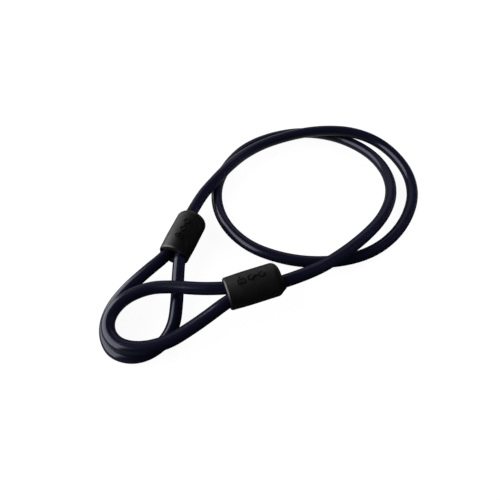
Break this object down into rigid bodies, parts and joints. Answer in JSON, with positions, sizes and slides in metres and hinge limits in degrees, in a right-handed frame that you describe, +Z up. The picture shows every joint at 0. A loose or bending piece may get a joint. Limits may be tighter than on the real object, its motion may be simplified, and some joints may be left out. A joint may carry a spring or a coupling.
{
  "type": "double-loop security cable",
  "caption": "Vinyl-covered steel security cable, loosely coiled, with a teardrop eye at each end held in a moulded crimp sleeve; a padlock or U-lock closes it through the eyes.",
  "frame": {"origin": "on the ground, at the middle of the coiled cable's bounding box", "axes": "+Z up from the ground; +X across the longest extent, with the eyes towards -X; +Y away from the eyes"},
  "size_m": [0.2712, 0.2569, 0.0381],
  "materials": {
    "rope_steel": "galvanised strands",
    "vinyl": "smooth semi-gloss vinyl",
    "ferrule_alloy": "pressed, dull",
    "sleeve_plastic": "matte moulded black"
  },
  "bodies": {
    "root": {"steel_rope": "rope_steel", "jacket_main": "vinyl", "jacket_eye_a": "vinyl", "jacket_eye_b": "vinyl", "ferrule_a": "ferrule_alloy", "ferrule_b": "ferrule_alloy", "sleeve_a": "sleeve_plastic", "sleeve_b": "sleeve_plastic"}
  },
  "joints": []
}
